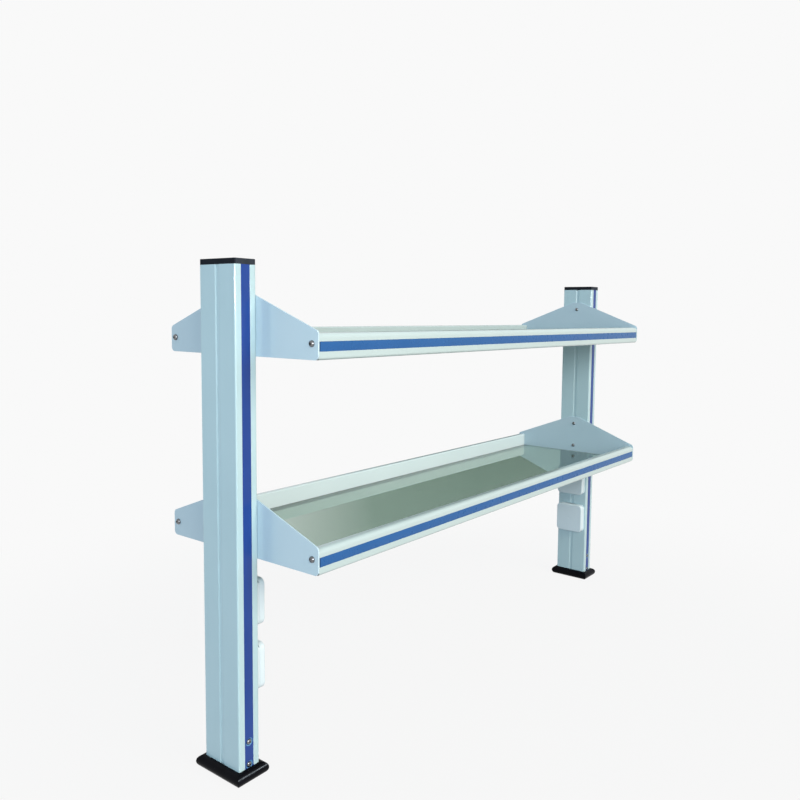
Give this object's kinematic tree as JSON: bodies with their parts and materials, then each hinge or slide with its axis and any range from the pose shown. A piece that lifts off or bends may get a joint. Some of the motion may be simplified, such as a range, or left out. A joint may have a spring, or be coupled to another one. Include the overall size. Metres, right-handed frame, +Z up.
{
  "type": "laboratory reagent shelf rack",
  "caption": "Two-tier bench-top reagent rack: slab columns, splayed brackets, guard rails, lift-out glass shelves and lidded socket outlets.",
  "frame": {"origin": "on the surface the rack stands on, midway between the two columns and midway in depth", "axes": "+X along the shelves from the left column to the right one, +Y from the front to the rear, +Z up"},
  "size_m": [1.425, 0.4, 0.928],
  "materials": {
    "column_paint": "semi-gloss powder coat, pale blue-grey, on extruded aluminium",
    "rail_paint": "semi-gloss powder coat, pale mint grey, on extruded aluminium",
    "bracket_paint": "satin powder coat, pale blue, on steel plate",
    "column_strip_blue": "glossy deep blue extruded plastic",
    "rail_strip_blue": "glossy blue extruded plastic",
    "cap_black": "fine-grained black moulded plastic",
    "shoe_black": "black moulded plastic with a soft shine",
    "anchor_steel": "zinc-plated bent steel",
    "bolt_chrome": "bright plated steel",
    "seat_rubber": "soft translucent grey plastic",
    "shelf_glass": "grey-green toughened glass with ground edges",
    "outlet_plastic": "pale grey-white moulded plastic",
    "insert_plastic": "white moulded plastic",
    "box_plastic": "grey moulded plastic"
  },
  "bodies": {
    "rack": {"left_column": "column_paint", "left_front_strip": "column_strip_blue", "left_rear_strip": "column_strip_blue", "left_top_cap": "cap_black", "left_foot_shoe": "shoe_black", "left_foot_anchor": "anchor_steel", "right_column": "column_paint", "right_front_strip": "column_strip_blue", "right_rear_strip": "column_strip_blue", "right_top_cap": "cap_black", "right_foot_shoe": "shoe_black", "right_foot_anchor": "anchor_steel", "lower_left_bracket": "bracket_paint", "lower_right_bracket": "bracket_paint", "lower_bracket_bolts": "bolt_chrome", "lower_front_rail": "rail_paint", "lower_front_rail_strip": "rail_strip_blue", "lower_rear_rail": "rail_paint", "lower_rear_rail_strip": "rail_strip_blue", "lower_glass_seats": "seat_rubber", "upper_left_bracket": "bracket_paint", "upper_right_bracket": "bracket_paint", "upper_bracket_bolts": "bolt_chrome", "upper_front_rail": "rail_paint", "upper_front_rail_strip": "rail_strip_blue", "upper_rear_rail": "rail_paint", "upper_rear_rail_strip": "rail_strip_blue", "upper_glass_seats": "seat_rubber", "left_lower_outlet_frame": "outlet_plastic", "left_lower_outlet_insert": "insert_plastic", "left_lower_outlet_box": "box_plastic", "left_upper_outlet_frame": "outlet_plastic", "left_upper_outlet_insert": "insert_plastic", "left_upper_outlet_box": "box_plastic", "right_lower_outlet_frame": "outlet_plastic", "right_lower_outlet_insert": "insert_plastic", "right_lower_outlet_box": "box_plastic", "right_upper_outlet_frame": "outlet_plastic", "right_upper_outlet_insert": "insert_plastic", "right_upper_outlet_box": "box_plastic"},
    "lower_glass": {"lower_glass_pane": "shelf_glass"},
    "upper_glass": {"upper_glass_pane": "shelf_glass"},
    "left_lower_lid": {"left_lower_outlet_lid": "outlet_plastic"},
    "left_upper_lid": {"left_upper_outlet_lid": "outlet_plastic"},
    "right_lower_lid": {"right_lower_outlet_lid": "outlet_plastic"},
    "right_upper_lid": {"right_upper_outlet_lid": "outlet_plastic"}
  },
  "joints": [
    {"name": "lower_glass_lift", "type": "slide", "parent": "rack", "child": "lower_glass", "axis": [0, 0, 1], "range_m": [0, 0.12]},
    {"name": "upper_glass_lift", "type": "slide", "parent": "rack", "child": "upper_glass", "axis": [0, 0, 1], "range_m": [0, 0.12]},
    {"name": "left_lower_lid_hinge", "type": "hinge", "parent": "rack", "child": "left_lower_lid", "pos_m": [-0.64785, 0, 0.2356], "axis": [0, -1, 0], "range_deg": [0, 90]},
    {"name": "left_upper_lid_hinge", "type": "hinge", "parent": "rack", "child": "left_upper_lid", "pos_m": [-0.64785, 0, 0.3556], "axis": [0, -1, 0], "range_deg": [0, 90]},
    {"name": "right_lower_lid_hinge", "type": "hinge", "parent": "rack", "child": "right_lower_lid", "pos_m": [0.64785, 0, 0.2356], "axis": [0, 1, 0], "range_deg": [0, 90]},
    {"name": "right_upper_lid_hinge", "type": "hinge", "parent": "rack", "child": "right_upper_lid", "pos_m": [0.64785, 0, 0.3556], "axis": [0, 1, 0], "range_deg": [0, 90]}
  ]
}
